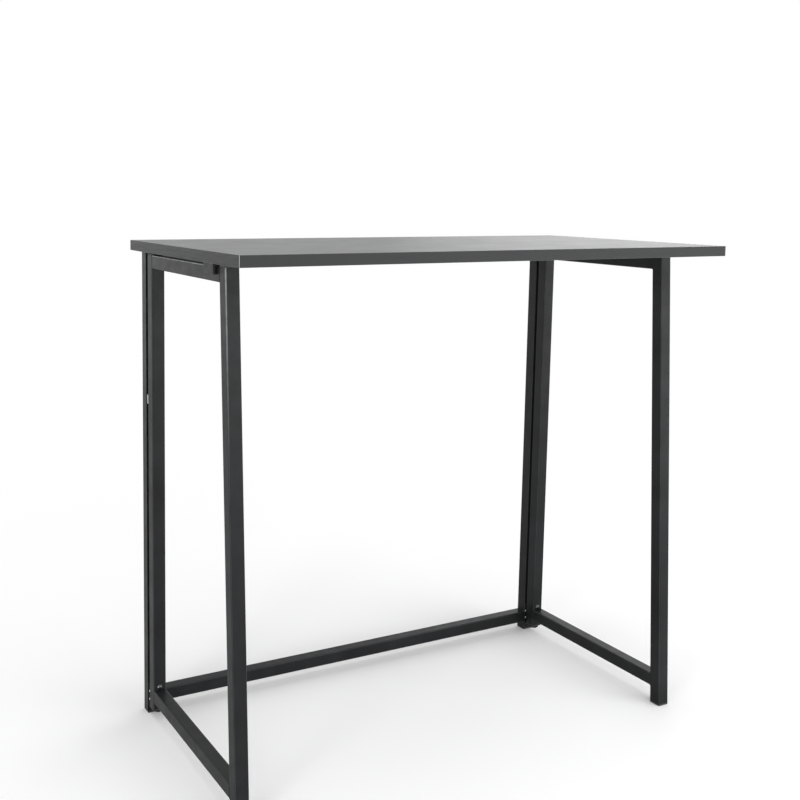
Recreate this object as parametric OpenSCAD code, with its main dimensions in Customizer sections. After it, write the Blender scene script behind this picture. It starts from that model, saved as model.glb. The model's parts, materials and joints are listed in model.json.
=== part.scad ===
// Folding desk: a board hinged on a rear frame of square tube, with two side frames
// that swing in against it. Millimetres, +Z up, front towards -Y.
// The origin is on the floor under the middle of the desk.

/* [Desktop] */
// Width of the desktop
top_w = 800; // [720:10:1000]
// Depth of the desktop
top_d = 400; // [360:10:500]
// Height of the desktop's upper face above the floor
top_h = 740; // [680:5:780]
// Thickness of the board
board_t = 15; // [12:1:22]
// Thickness of the edge bands
band_t = 1; // [0.5:0.5:2]

/* [Tubes] */
// Outer width of the square tubes
tube = 20; // [18:1:24]
// Wall of the tubes
wall = 1.2; // [1:0.1:1.6]
// Outer corner radius of the tubes
corner_r = 2; // [1.8:0.1:3]
// Distance from the end of the desktop to the outer face of the tubes
frame_inset = 20; // [10:5:60]
// Distance that the back posts stand out behind the desktop
post_overhang = 7; // [7:1:12]
// Gap between a back post and the rear post of the side frame
post_gap = 6; // [5.5:0.5:10]

/* [Side frames] */
// Setback of a front leg's front face from the desktop's front edge, at its top
leg_top_setback = 88; // [70:2:120]
// Setback of a front leg's front face from the desktop's front edge, at the floor
leg_foot_setback = 48; // [30:2:70]
// Height of the side bottom rails' underside above the floor
side_rail_z = 27; // [24:1:60]
// Radius of the welded inner corner under a top rail's front end
weld_r = 3; // [2:0.5:8]

/* [Rear frame] */
// Height of the back bottom rail's underside above the floor
back_rail_z = 15; // [10:1:60]
// Thickness of the foot flanges
foot_t = 3; // [2:0.5:5]
// Length of the foot plugs inside the tubes
foot_plug = 15; // [10:1:16]

/* [Side frame pivots] */
// Diameter of the pivot pins and pivot bolts
pivot_d = 8; // [7:0.5:9]
// Length of a pivot pin or bolt inside its insert
pivot_reach = 24; // [18:1:28]
// Diameter of the upper pin's spigot in its plate
spigot_d = 6; // [4:0.5:6.5]
// Head diameter of the lower pivot bolts
pivot_head_d = 13; // [12:0.5:16]
// Head height of the lower pivot bolts
pivot_head_h = 2.4; // [2:0.2:3]
// Thickness of the upper pivot plate
plate_t = 3; // [2:0.5:4]
// Thickness of the lower pivot bracket
bracket_t = 2; // [1.5:0.5:2]
// Height of the lower bracket's underside above the floor
bracket_z = 12; // [10:1:14]
// Height of the lower bracket's upright flange
bracket_h = 38; // [34:1:44]
// Thickness of the thrust washers
washer_t = 1; // [0.5:0.5:2]
// Outer diameter of the thrust washers
washer_d = 18; // [14:1:19]
// Flange thickness of the post inserts
flange_t = 2; // [1.5:0.5:3]
// Height of the insert screw above the side bottom rail
insert_screw_rise = 4.5; // [4.5:0.5:8]
// Diameter of the insert screw
insert_screw_d = 5; // [4:0.5:5]
// Height of the lower post insert above its screw
insert_above_screw = 8; // [6:1:20]
// Height of the stop pad's middle above the floor
pad_z = 500; // [300:10:600]
// Height of the stop pad
pad_h = 14; // [8:1:30]
// Width of the stop pad
pad_w = 8; // [5:1:8]

/* [Desktop hinges] */
// Distance from the end of the desktop to the middle of the hinge near it
hinge_inset = 150; // [110:10:250]
// Length of a hinge along its pin
hinge_l = 60; // [50:2:80]
// Outer diameter of the hinge knuckles
knuckle_d = 6; // [6:0.2:6.4]
// Diameter of the hinge pins
pin_d = 3; // [2.5:0.1:3.4]
// Thickness of the hinge leaves
leaf_t = 1.5; // [1.2:0.1:1.8]
// Width of the leaf under the board, from the pin
board_leaf_w = 26; // [22:1:36]

/* [Clips] */
// Length of a clip along the rail
clip_l = 31; // [24:1:50]
// Distance from the front leg back to the clip
clip_leg_gap = 8; // [4:1:30]
// Thickness of the clip's outer lip
lip_t = 3.8; // [3:0.2:6]
// Depth of the lip down the side of the rail
lip_drop = 10.5; // [6:0.5:14]

/* [Clearances] */
// Radial running clearance of pivots and hinge pins
running_fit = 0.05; // [0.03:0.01:0.1]
// Clearance of plugs and inserts in their tubes
plug_fit = 0.1; // [0.05:0.05:0.2]
// Radial clearance of screws and rivets in their holes
screw_fit = 0.05; // [0.02:0.01:0.1]
// Vertical play between a side frame and its pivot plate
pivot_play = 0.5; // [0.3:0.1:0.8]
// Space between a pivot plate and the desktop
plate_clear = 0.5; // [0.4:0.1:1]
// Gap between a clip's lip and the rail inside it
lip_gap = 1.2; // [1:0.1:2]
// Gap between a moving piece and what it comes to rest beside
rest_gap = 0.3; // [0.2:0.05:0.4]

/* [Hidden] */
$fn = 48;

// Places across the desk
overall_d = top_d + post_overhang;
front_y = -overall_d / 2;
desk_back_y = front_y + top_d;
back_y = overall_d / 2;
post_x = top_w / 2 - frame_inset - tube / 2;
back_post_y = back_y - tube / 2;
back_front_y = back_y - tube;
pivot_y = back_front_y - post_gap - tube / 2;
rear_post_front_y = pivot_y - tube / 2;

// Heights
underside_z = top_h - board_t;
plate_z = underside_z - plate_clear - plate_t;
insert_top_z = plate_z - pivot_play;
frame_top_z = insert_top_z - flange_t;
side_rail_bottom_z = frame_top_z - tube;
washer_z = bracket_z + bracket_t;
post_foot_z = washer_z + washer_t + running_fit;
insert_screw_z = side_rail_z + tube + insert_screw_rise;
hinge_z = underside_z - knuckle_d / 2;
back_rail_top_z = underside_z - knuckle_d;

// Lean of the front legs and their section measured level
lean = atan((leg_top_setback - leg_foot_setback) / frame_top_z);
leg_depth = tube / cos(lean);
leg_foot_y = front_y + leg_foot_setback;

// Insides of the tubes
inner_r = corner_r - wall;
bore_w = tube - 2 * wall;
plug_w = bore_w - 2 * plug_fit;

// Hinges
hinge_x = top_w / 2 - hinge_inset;
hinge_y = desk_back_y + rest_gap + knuckle_d / 2 + 0.2;
knuckle_gap = 0.5;
leaf_r = 3;
knuckle_l = (hinge_l - 2 * knuckle_gap) / 3;
rail_leaf_w = hinge_y - back_front_y - 1;
leaf_screw_x = knuckle_l;
pin_head_d = pin_d + 1;
pin_head_h = 0.8;

// Pivots
pivot_chamfer = 1;
insert_floor = 3;

// Fasteners
csk_head_d = 6.5;
csk_shank_d = 3.4;
csk_head_h = leaf_t;
csk_tip = 1.5;
cross_l = 3.4;
cross_w = 0.9;
cross_depth = 1.1;
rail_screw_l = 9;
board_screw_l = 12;
clip_screw_l = 16;
clip_screw_y = 9;
rivet_z = [24, 37];
rivet_x = 6.2;
rivet_d = 3.2;
rivet_head_d = 5.6;
rivet_head_h = 1.1;
rivet_tail_d = 4.4;
mandrel_d = 1.6;
mandrel_depth = 0.5;
rivet_tail_l = 2.5;
button_head_d = 8.5;
button_head_h = 2.6;
socket_w = 3;
insert_screw_l = 15;
bracket_w = 18;
cap_plug = 15;
lip_chamfer = 1.5;
pad_inset = 0.4;
reach = 2000;

// Colours
black_steel = "#202123";
black_plastic = "#17181a";
zinc = "#c9ccd0";
board_grey = "#55575a";
band_grey = "#4a4c4f";

// Shared shapes

module rounded_square(size, r) {
    square([size, size - 2 * r], center = true);
    square([size - 2 * r, size], center = true);
    for (x = [-1, 1], y = [-1, 1])
        translate([x * (size / 2 - r), y * (size / 2 - r)]) circle(r);
}

module tube_profile() difference() {
    rounded_square(tube, corner_r);
    rounded_square(bore_w, inner_r);
}

module plug_profile() rounded_square(plug_w, inner_r);

// Upright stretch of whatever profile is given, at a post
module upright(y, z0, z1) translate([-post_x, y, z0]) linear_extrude(z1 - z0) children();

// Stretch along the depth of the desk, centred at height z
module along_y(y0, y1, z) translate([-post_x, y1, z]) rotate([90, 0, 0])
    linear_extrude(y1 - y0) children();

// Stretch of the leaning front leg between two heights, cut level at both ends
module leaning(z0, z1) intersection() {
    translate([-post_x, leg_foot_y + leg_depth / 2, 0]) rotate([-lean, 0, 0])
        translate([0, 0, -tube]) linear_extrude(frame_top_z + 3 * tube) children();
    translate([-post_x - tube, front_y - tube, z0]) cube([2 * tube, overall_d, z1 - z0]);
}

// Everything in front of the leg's rear face
module before_leg() translate([0, leg_foot_y + leg_depth, 0]) rotate([-lean, 0, 0])
    translate([-reach / 2, -reach, -reach / 2]) cube(reach);

// Rear face of the front leg at height z
function leg_rear_y(z) = leg_foot_y + leg_depth + z * tan(lean);

module dome(d, h) {
    ball_r = (h * h + d * d / 4) / (2 * h);
    intersection() {
        translate([0, 0, h - ball_r]) sphere(ball_r);
        cylinder(d = d, h = h);
    }
}

// Countersunk screw, head face at the origin, pointing up, with a cross in its head
module csk_screw(l, head_h = csk_head_h) {
    difference() {
        union() {
            cylinder(d1 = csk_head_d, d2 = csk_shank_d, h = head_h);
            cylinder(d = csk_shank_d, h = l - csk_tip);
        }
        for (a = [0, 90]) rotate(a) cube([cross_l, cross_w, 2 * cross_depth], center = true);
    }
    translate([0, 0, l - csk_tip]) cylinder(d1 = csk_shank_d, d2 = csk_shank_d / 3, h = csk_tip);
}

module csk_hole(l, head_h = csk_head_h) {
    cylinder(d1 = csk_head_d + 2 * screw_fit, d2 = csk_shank_d + 2 * screw_fit, h = head_h);
    translate([0, 0, -1]) cylinder(d = csk_shank_d + 2 * screw_fit, h = l + 1 + screw_fit);
}

module right() mirror([1, 0, 0]) children();

module both() {
    children();
    right() children();
}

// Rear frame

module back_post() color(black_steel) difference() {
    upright(back_post_y, foot_t, plate_z) tube_profile();
    rivets_at() cylinder(d = rivet_d + 2 * screw_fit, h = 4 * wall, center = true);
}

module back_rail(z) color(black_steel) translate([-(post_x - tube / 2), back_post_y, z])
    rotate([0, 90, 0]) linear_extrude(2 * post_x - tube) tube_profile();

module back_top_rail() color(black_steel) difference() {
    back_rail(back_rail_top_z - tube / 2);
    both() rail_screws_at() cylinder(d = csk_shank_d + 2 * screw_fit, h = leaf_t + 2 * wall);
}

module back_bottom_rail() back_rail(back_rail_z + tube / 2);

module back_foot() color(black_plastic) {
    upright(back_post_y, 0, foot_t) rounded_square(tube, corner_r);
    upright(back_post_y, foot_t, foot_t + foot_plug) plug_profile();
}

module pivot_plate() color(black_steel) difference() {
    translate([-post_x - tube / 2, rear_post_front_y, plate_z])
        cube([tube, back_y - rear_post_front_y, plate_t]);
    translate([-post_x, pivot_y, plate_z - 1]) cylinder(d = spigot_d + 2 * screw_fit, h = plate_t + 2);
}

module pivot_bracket() color(black_steel) difference() {
    union() {
        translate([-post_x - bracket_w / 2, back_front_y - bracket_t, bracket_z])
            cube([bracket_w, bracket_t, bracket_h]);
        translate([-post_x - bracket_w / 2, pivot_y, bracket_z])
            cube([bracket_w, back_front_y - pivot_y, bracket_t]);
        translate([-post_x, pivot_y, bracket_z]) cylinder(d = bracket_w, h = bracket_t);
    }
    translate([-post_x, pivot_y, bracket_z - 1]) cylinder(d = pivot_d + 4 * running_fit, h = bracket_t + 2);
    rivets_at() cylinder(d = rivet_d + 2 * screw_fit, h = 4 * bracket_t, center = true);
}

// Frames on the back post's front face, looking into the post
module rivets_at() for (x = [-rivet_x, rivet_x], z = rivet_z)
    translate([-post_x + x, back_front_y, z]) rotate([-90, 0, 0]) children();

module rivet() {
    translate([0, 0, -bracket_t]) {
        rotate([180, 0, 0]) difference() {
            dome(rivet_head_d, rivet_head_h);
            translate([0, 0, rivet_head_h - mandrel_depth]) cylinder(d = mandrel_d, h = 1);
        }
        cylinder(d = rivet_d, h = bracket_t + wall + rivet_tail_l);
    }
    translate([0, 0, wall]) cylinder(d = rivet_tail_d, h = rivet_tail_l);
}

module bracket_rivets() color(zinc) both() rivets_at() rivet();

module pivot_washers() color(black_plastic) both() translate([-post_x, pivot_y, washer_z]) difference() {
    cylinder(d = washer_d, h = washer_t);
    translate([0, 0, -1]) cylinder(d = pivot_d + 4 * running_fit, h = washer_t + 2);
}

// Round shank pointing up, with a chamfered end
module pivot_shank(l) {
    cylinder(d = pivot_d, h = l - pivot_chamfer);
    translate([0, 0, l - pivot_chamfer])
        cylinder(d1 = pivot_d, d2 = pivot_d - 2 * pivot_chamfer, h = pivot_chamfer);
}

// Pin under its plate, with a spigot that is riveted flush in it
module upper_pivot_pin() color(black_steel) translate([-post_x, pivot_y, plate_z]) {
    rotate([180, 0, 0]) pivot_shank(pivot_play + pivot_reach);
    cylinder(d = spigot_d, h = plate_t);
}

// Bolt up through its bracket, with a hexagon socket in its head
module lower_pivot_bolt() color(black_steel) translate([-post_x, pivot_y, bracket_z]) {
    translate([0, 0, -pivot_head_h]) difference() {
        cylinder(d = pivot_head_d, h = pivot_head_h);
        translate([0, 0, -1]) cylinder(d = pivot_d / 2, h = 1 + pivot_head_h / 2, $fn = 6);
    }
    pivot_shank(bracket_t + washer_t + running_fit + pivot_reach);
}

// Side frame, drawn for the left side

module rear_post() color(black_steel) difference() {
    upright(pivot_y, post_foot_z + flange_t, frame_top_z) tube_profile();
    insert_screw_at() cylinder(d = insert_screw_d + 2 * screw_fit, h = 4 * wall, center = true);
}

module front_leg() color(black_steel) leaning(foot_t, frame_top_z) tube_profile();

module top_rail() color(black_steel) {
    difference() {
        along_y(front_y, rear_post_front_y, frame_top_z - tube / 2) tube_profile();
        before_leg();
    }
    weld_corner();
}

module bottom_rail() color(black_steel) difference() {
    along_y(front_y, rear_post_front_y, side_rail_z + tube / 2) tube_profile();
    before_leg();
}

function arc_point(y, z, r, a) = [y + r * cos(a), z + r * sin(a)];

// Weld that rounds the inner corner between the top rail and the front leg
module weld_corner() {
    y = leg_rear_y(side_rail_bottom_z);
    arc_y = y + weld_r / tan(45 + lean / 2);
    arc_z = side_rail_bottom_z - weld_r;
    root_z = side_rail_bottom_z + wall / 2;
    arc = [for (i = [0:8]) arc_point(arc_y, arc_z, weld_r, 90 + i * (90 - lean) / 8)];
    translate([-post_x, 0, 0]) rotate([90, 0, 90]) linear_extrude(tube - 2 * corner_r, center = true)
        polygon(concat([[leg_rear_y(root_z), root_z], [arc_y, root_z]], arc));
}

module upper_pivot_insert() color(black_plastic) difference() {
    union() {
        upright(pivot_y, frame_top_z, insert_top_z) rounded_square(tube, corner_r);
        upright(pivot_y, insert_top_z - pivot_reach - insert_floor, frame_top_z) plug_profile();
    }
    translate([-post_x, pivot_y, insert_top_z - pivot_reach - running_fit])
        cylinder(d = pivot_d + 2 * running_fit, h = pivot_reach + 1);
}

module lower_pivot_insert() color(black_plastic) difference() {
    union() {
        upright(pivot_y, post_foot_z, post_foot_z + flange_t) rounded_square(tube, corner_r);
        upright(pivot_y, post_foot_z + flange_t, insert_screw_z + insert_above_screw) plug_profile();
    }
    translate([-post_x, pivot_y, post_foot_z - 1])
        cylinder(d = pivot_d + 2 * running_fit, h = 1 + pivot_reach + running_fit);
    insert_screw_at() cylinder(d = insert_screw_d + 2 * screw_fit, h = insert_screw_l + screw_fit);
}

// Frame on the rear post's front face, looking into the post
module insert_screw_at() translate([-post_x, rear_post_front_y, insert_screw_z])
    rotate([-90, 0, 0]) children();

module insert_screw() color(black_steel) insert_screw_at() {
    difference() {
        rotate([180, 0, 0]) dome(button_head_d, button_head_h);
        translate([0, 0, -2 * button_head_h]) cylinder(d = socket_w, h = 1.5 * button_head_h, $fn = 6);
    }
    cylinder(d = insert_screw_d, h = insert_screw_l);
}

module stop_pad() color(black_plastic)
    translate([-post_x - tube / 2 + pad_inset, pivot_y + tube / 2, pad_z - pad_h / 2])
        cube([pad_w, post_gap - rest_gap, pad_h]);

// Cap in the top of a front leg, as high as the desktop that it carries
module leg_cap() color(black_plastic) {
    leaning(frame_top_z, underside_z - rest_gap) rounded_square(tube, corner_r);
    leaning(frame_top_z - cap_plug, frame_top_z) plug_profile();
}

module front_foot() color(black_plastic) {
    leaning(0, foot_t) rounded_square(tube, corner_r);
    leaning(foot_t, foot_t + foot_plug) plug_profile();
}

// Desktop

module desktop_board() color(board_grey) difference() {
    translate([-top_w / 2 + band_t, front_y + band_t, underside_z])
        cube([top_w - 2 * band_t, top_d - 2 * band_t, board_t]);
    both() {
        board_screws_at() csk_hole(board_screw_l);
        clip_screws_at() csk_hole(clip_screw_l, 2);
    }
}

module long_band(y) color(band_grey) translate([-top_w / 2 + band_t, y, underside_z])
    cube([top_w - 2 * band_t, band_t, board_t]);

module edge_band_front() long_band(front_y);

module edge_band_back() long_band(desk_back_y - band_t);

module end_band() color(band_grey) translate([-top_w / 2, front_y, underside_z])
    cube([band_t, top_d, board_t]);

// Outline of a hinge leaf that reaches w in front of its axis, with two rounded corners
module leaf_outline(w) {
    translate([-hinge_l / 2, leaf_r - w]) square([hinge_l, w - leaf_r]);
    translate([leaf_r - hinge_l / 2, -w]) square([hinge_l - 2 * leaf_r, w]);
    for (x = [-1, 1]) translate([x * (hinge_l / 2 - leaf_r), leaf_r - w]) circle(leaf_r);
}

// Hinge leaf on an axis along X, its plate below the axis and in front of it
module leaf(w, own, other) difference() {
    union() {
        translate([0, 0, -knuckle_d / 2]) linear_extrude(leaf_t) leaf_outline(w);
        for (x = own) translate([x - knuckle_l / 2, 0, 0]) rotate([0, 90, 0])
            cylinder(d = knuckle_d, h = knuckle_l);
    }
    for (x = other) translate([x - knuckle_l / 2 - knuckle_gap, -knuckle_d / 2 - rest_gap, -knuckle_d])
        cube([knuckle_l + 2 * knuckle_gap, knuckle_d + 2 * rest_gap, 2 * knuckle_d]);
    translate([-hinge_l, 0, 0]) rotate([0, 90, 0]) cylinder(d = pin_d + 2 * running_fit, h = 2 * hinge_l);
}

module hinge_at() translate([-hinge_x, hinge_y, hinge_z]) children();

module rail_hinge_leaf() color(black_steel) difference() {
    hinge_at() leaf(rail_leaf_w, [-knuckle_l - knuckle_gap, knuckle_l + knuckle_gap], [0]);
    rail_screws_at() csk_hole(rail_screw_l);
}

module board_hinge_leaf() color(black_steel) difference() {
    hinge_at() mirror([0, 0, 1]) leaf(board_leaf_w, [0], [-knuckle_l - knuckle_gap, knuckle_l + knuckle_gap]);
    board_screws_at() csk_hole(board_screw_l);
}

// Pin with peened ends that hold it in its leaves
module hinge_pin() color(zinc) hinge_at() translate([-hinge_l / 2, 0, 0]) rotate([0, 90, 0]) {
    cylinder(d = pin_d, h = hinge_l);
    translate([0, 0, hinge_l]) dome(pin_head_d, pin_head_h);
    rotate([180, 0, 0]) dome(pin_head_d, pin_head_h);
}

// Frames at the heads of the screws down into the rail
module rail_screws_at() for (x = [-leaf_screw_x, leaf_screw_x])
    translate([-hinge_x + x, back_post_y, back_rail_top_z + leaf_t]) rotate([180, 0, 0]) children();

module rail_hinge_screws() color(black_steel) both() rail_screws_at() csk_screw(rail_screw_l);

// Frames at the heads of the screws up into the board
module board_screws_at() for (x = [-leaf_screw_x, 0, leaf_screw_x])
    translate([-hinge_x + x, hinge_y - board_leaf_w + csk_head_d, underside_z - leaf_t]) children();

module board_hinge_screws() color(black_steel) both() board_screws_at() csk_screw(board_screw_l);

// Clips

clip_y = leg_rear_y(frame_top_z) + clip_leg_gap + clip_l / 2;

module clip() color(black_plastic) difference() {
    translate([0, clip_y + clip_l / 2, 0]) rotate([90, 0, 0]) linear_extrude(clip_l) clip_profile();
    clip_screws_at() csk_hole(clip_screw_l, 2);
}

// Section of the clip: a pad between board and rail, and a lip outside the rail
module clip_profile() {
    outer_x = -post_x - tube / 2 - lip_gap;
    base_z = frame_top_z + rest_gap;
    lip_z = frame_top_z - lip_drop;
    polygon([
        [outer_x - lip_t, underside_z],
        [-post_x + tube / 2 - corner_r, underside_z],
        [-post_x + tube / 2 - corner_r, base_z],
        [outer_x, base_z],
        [outer_x, lip_z],
        [outer_x - lip_t + lip_chamfer, lip_z],
        [outer_x - lip_t, lip_z + lip_chamfer]
    ]);
}

// Frames at the heads of the screws up through the clip into the board
module clip_screws_at() for (y = [-clip_screw_y, clip_screw_y])
    translate([-post_x, clip_y + y, frame_top_z + rest_gap]) children();

module clip_screws() color(black_steel) both() clip_screws_at() csk_screw(clip_screw_l, 2);

back_post();  // back_post_left
right() back_post();  // back_post_right
back_top_rail();
back_bottom_rail();
back_foot();  // back_foot_left
right() back_foot();  // back_foot_right
pivot_plate();  // pivot_plate_left
right() pivot_plate();  // pivot_plate_right
pivot_bracket();  // pivot_bracket_left
right() pivot_bracket();  // pivot_bracket_right
bracket_rivets();
pivot_washers();
upper_pivot_pin();  // upper_pivot_pin_left
right() upper_pivot_pin();  // upper_pivot_pin_right
lower_pivot_bolt();  // lower_pivot_bolt_left
right() lower_pivot_bolt();  // lower_pivot_bolt_right
rail_hinge_leaf();  // rail_hinge_leaf_left
right() rail_hinge_leaf();  // rail_hinge_leaf_right
hinge_pin();  // hinge_pin_left
right() hinge_pin();  // hinge_pin_right
rail_hinge_screws();
rear_post();  // rear_post_left
front_leg();  // front_leg_left
top_rail();  // top_rail_left
bottom_rail();  // bottom_rail_left
upper_pivot_insert();  // upper_pivot_insert_left
lower_pivot_insert();  // lower_pivot_insert_left
insert_screw();  // insert_screw_left
stop_pad();  // stop_pad_left
leg_cap();  // leg_cap_left
front_foot();  // front_foot_left
right() rear_post();  // rear_post_right
right() front_leg();  // front_leg_right
right() top_rail();  // top_rail_right
right() bottom_rail();  // bottom_rail_right
right() upper_pivot_insert();  // upper_pivot_insert_right
right() lower_pivot_insert();  // lower_pivot_insert_right
right() insert_screw();  // insert_screw_right
right() stop_pad();  // stop_pad_right
right() leg_cap();  // leg_cap_right
right() front_foot();  // front_foot_right
desktop_board();
edge_band_front();
edge_band_back();
end_band();  // edge_band_left
right() end_band();  // edge_band_right
clip();  // clip_left
right() clip();  // clip_right
clip_screws();
board_hinge_leaf();  // board_hinge_leaf_left
right() board_hinge_leaf();  // board_hinge_leaf_right
board_hinge_screws();
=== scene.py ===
"""Looks of a folding desk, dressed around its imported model.

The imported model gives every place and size, in metres, with the front towards -Y. This script
adds the finishes, the eased edges, the welds, the screws and the rivets, and a plain studio.
"""

from __future__ import annotations

import json
import logging
import math
from collections.abc import Callable
from dataclasses import dataclass, field
from enum import Enum
from functools import cached_property

import bmesh
import bpy
from bmesh.types import BMEdge, BMesh
from bpy.types import Material, Mesh, Node, NodeSocket, NodeTree, Object
from mathutils import Matrix, Vector

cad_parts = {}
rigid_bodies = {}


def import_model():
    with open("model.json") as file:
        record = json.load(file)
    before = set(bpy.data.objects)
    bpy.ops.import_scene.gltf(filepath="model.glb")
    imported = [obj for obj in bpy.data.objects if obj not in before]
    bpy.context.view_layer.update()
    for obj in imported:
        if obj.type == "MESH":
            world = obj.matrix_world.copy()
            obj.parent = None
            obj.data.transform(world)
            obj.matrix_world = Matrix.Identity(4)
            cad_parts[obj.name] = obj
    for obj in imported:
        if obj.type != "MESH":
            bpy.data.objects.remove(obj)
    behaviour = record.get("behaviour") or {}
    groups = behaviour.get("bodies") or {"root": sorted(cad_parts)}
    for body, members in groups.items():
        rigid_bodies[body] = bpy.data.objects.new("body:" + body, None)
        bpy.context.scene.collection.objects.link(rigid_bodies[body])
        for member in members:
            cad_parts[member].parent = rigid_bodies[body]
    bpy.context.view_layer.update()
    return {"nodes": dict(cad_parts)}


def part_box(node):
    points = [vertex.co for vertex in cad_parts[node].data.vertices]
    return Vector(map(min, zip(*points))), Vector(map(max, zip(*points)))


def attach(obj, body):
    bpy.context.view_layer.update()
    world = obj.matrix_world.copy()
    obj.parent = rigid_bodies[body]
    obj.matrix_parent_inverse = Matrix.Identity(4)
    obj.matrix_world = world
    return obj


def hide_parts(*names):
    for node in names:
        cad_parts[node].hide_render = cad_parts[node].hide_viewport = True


MM = 0.001
SAME_PLACE = 0.001 * MM
LOG = logging.getLogger("folding_desk")

Colour = tuple[float, float, float]
Point = tuple[float, float, float]
Range = tuple[float, float]
Box = tuple[Vector, Vector]

FORWARDS = Vector((0, -1, 0))
BACKWARDS = Vector((0, 1, 0))
UPWARDS = Vector((0, 0, 1))
RIGHTWARDS = Vector((1, 0, 0))


class Side(Enum):
    """The two ends of the desk, with the sign of their place along X."""

    LEFT = -1
    RIGHT = 1

    def node(self, stem: str) -> str:
        """Name of this side's node with that stem."""
        return f"{stem}_{self.name.lower()}"

    @property
    def body(self) -> str:
        """Body of this side's frame."""
        return f"{self.name.lower()}_side_frame"


class Drive(Enum):
    """What a fastener has in the middle of its head, with the number of sides it turns through."""

    HEXAGON = 6
    CROSS = 4
    ROUND = 48


class Heads(Enum):
    """The way that the heads of upright screws look, with the sign of their axis along Z."""

    DOWN = -1
    UP = 1


class NodeGraph:
    """A node tree under construction, with short calls for what all trees here use."""

    def __init__(self, tree: NodeTree) -> None:
        """Start with a tree that Blender has made."""
        self.tree = tree

    def give(self, target: NodeSocket, value: object) -> None:
        """Link an input to a source socket, or set its value.

        Args:
            target: The input.
            value: The source socket or the value.
        """
        if isinstance(value, NodeSocket):
            self.tree.links.new(value, target)
        else:
            target.default_value = value

    def add(self, kind: str, inputs: dict[str | int, object] | None = None, **settings: object) -> Node:
        """Add a node.

        Args:
            kind: Blender's name of the node type.
            inputs: Value or source socket of each input, by name or number.
            **settings: Values of the node's own settings.

        Returns:
            The node.
        """
        node = self.tree.nodes.new(kind)
        for name, value in settings.items():
            setattr(node, name, value)
        for name, value in (inputs or {}).items():
            self.give(node.inputs[name], value)
        return node

    def math(self, operation: str, *values: object) -> NodeSocket:
        """Work out a value from numbers or sockets, by Blender's name of the operation."""
        return self.add("ShaderNodeMath", dict(enumerate(values)), operation=operation).outputs[0]

    def mix(self, share: NodeSocket, first: NodeSocket, second: NodeSocket) -> NodeSocket:
        """Mix two shaders, by the share of the second."""
        return self.add("ShaderNodeMixShader", {0: share, 1: first, 2: second}).outputs[0]


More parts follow.
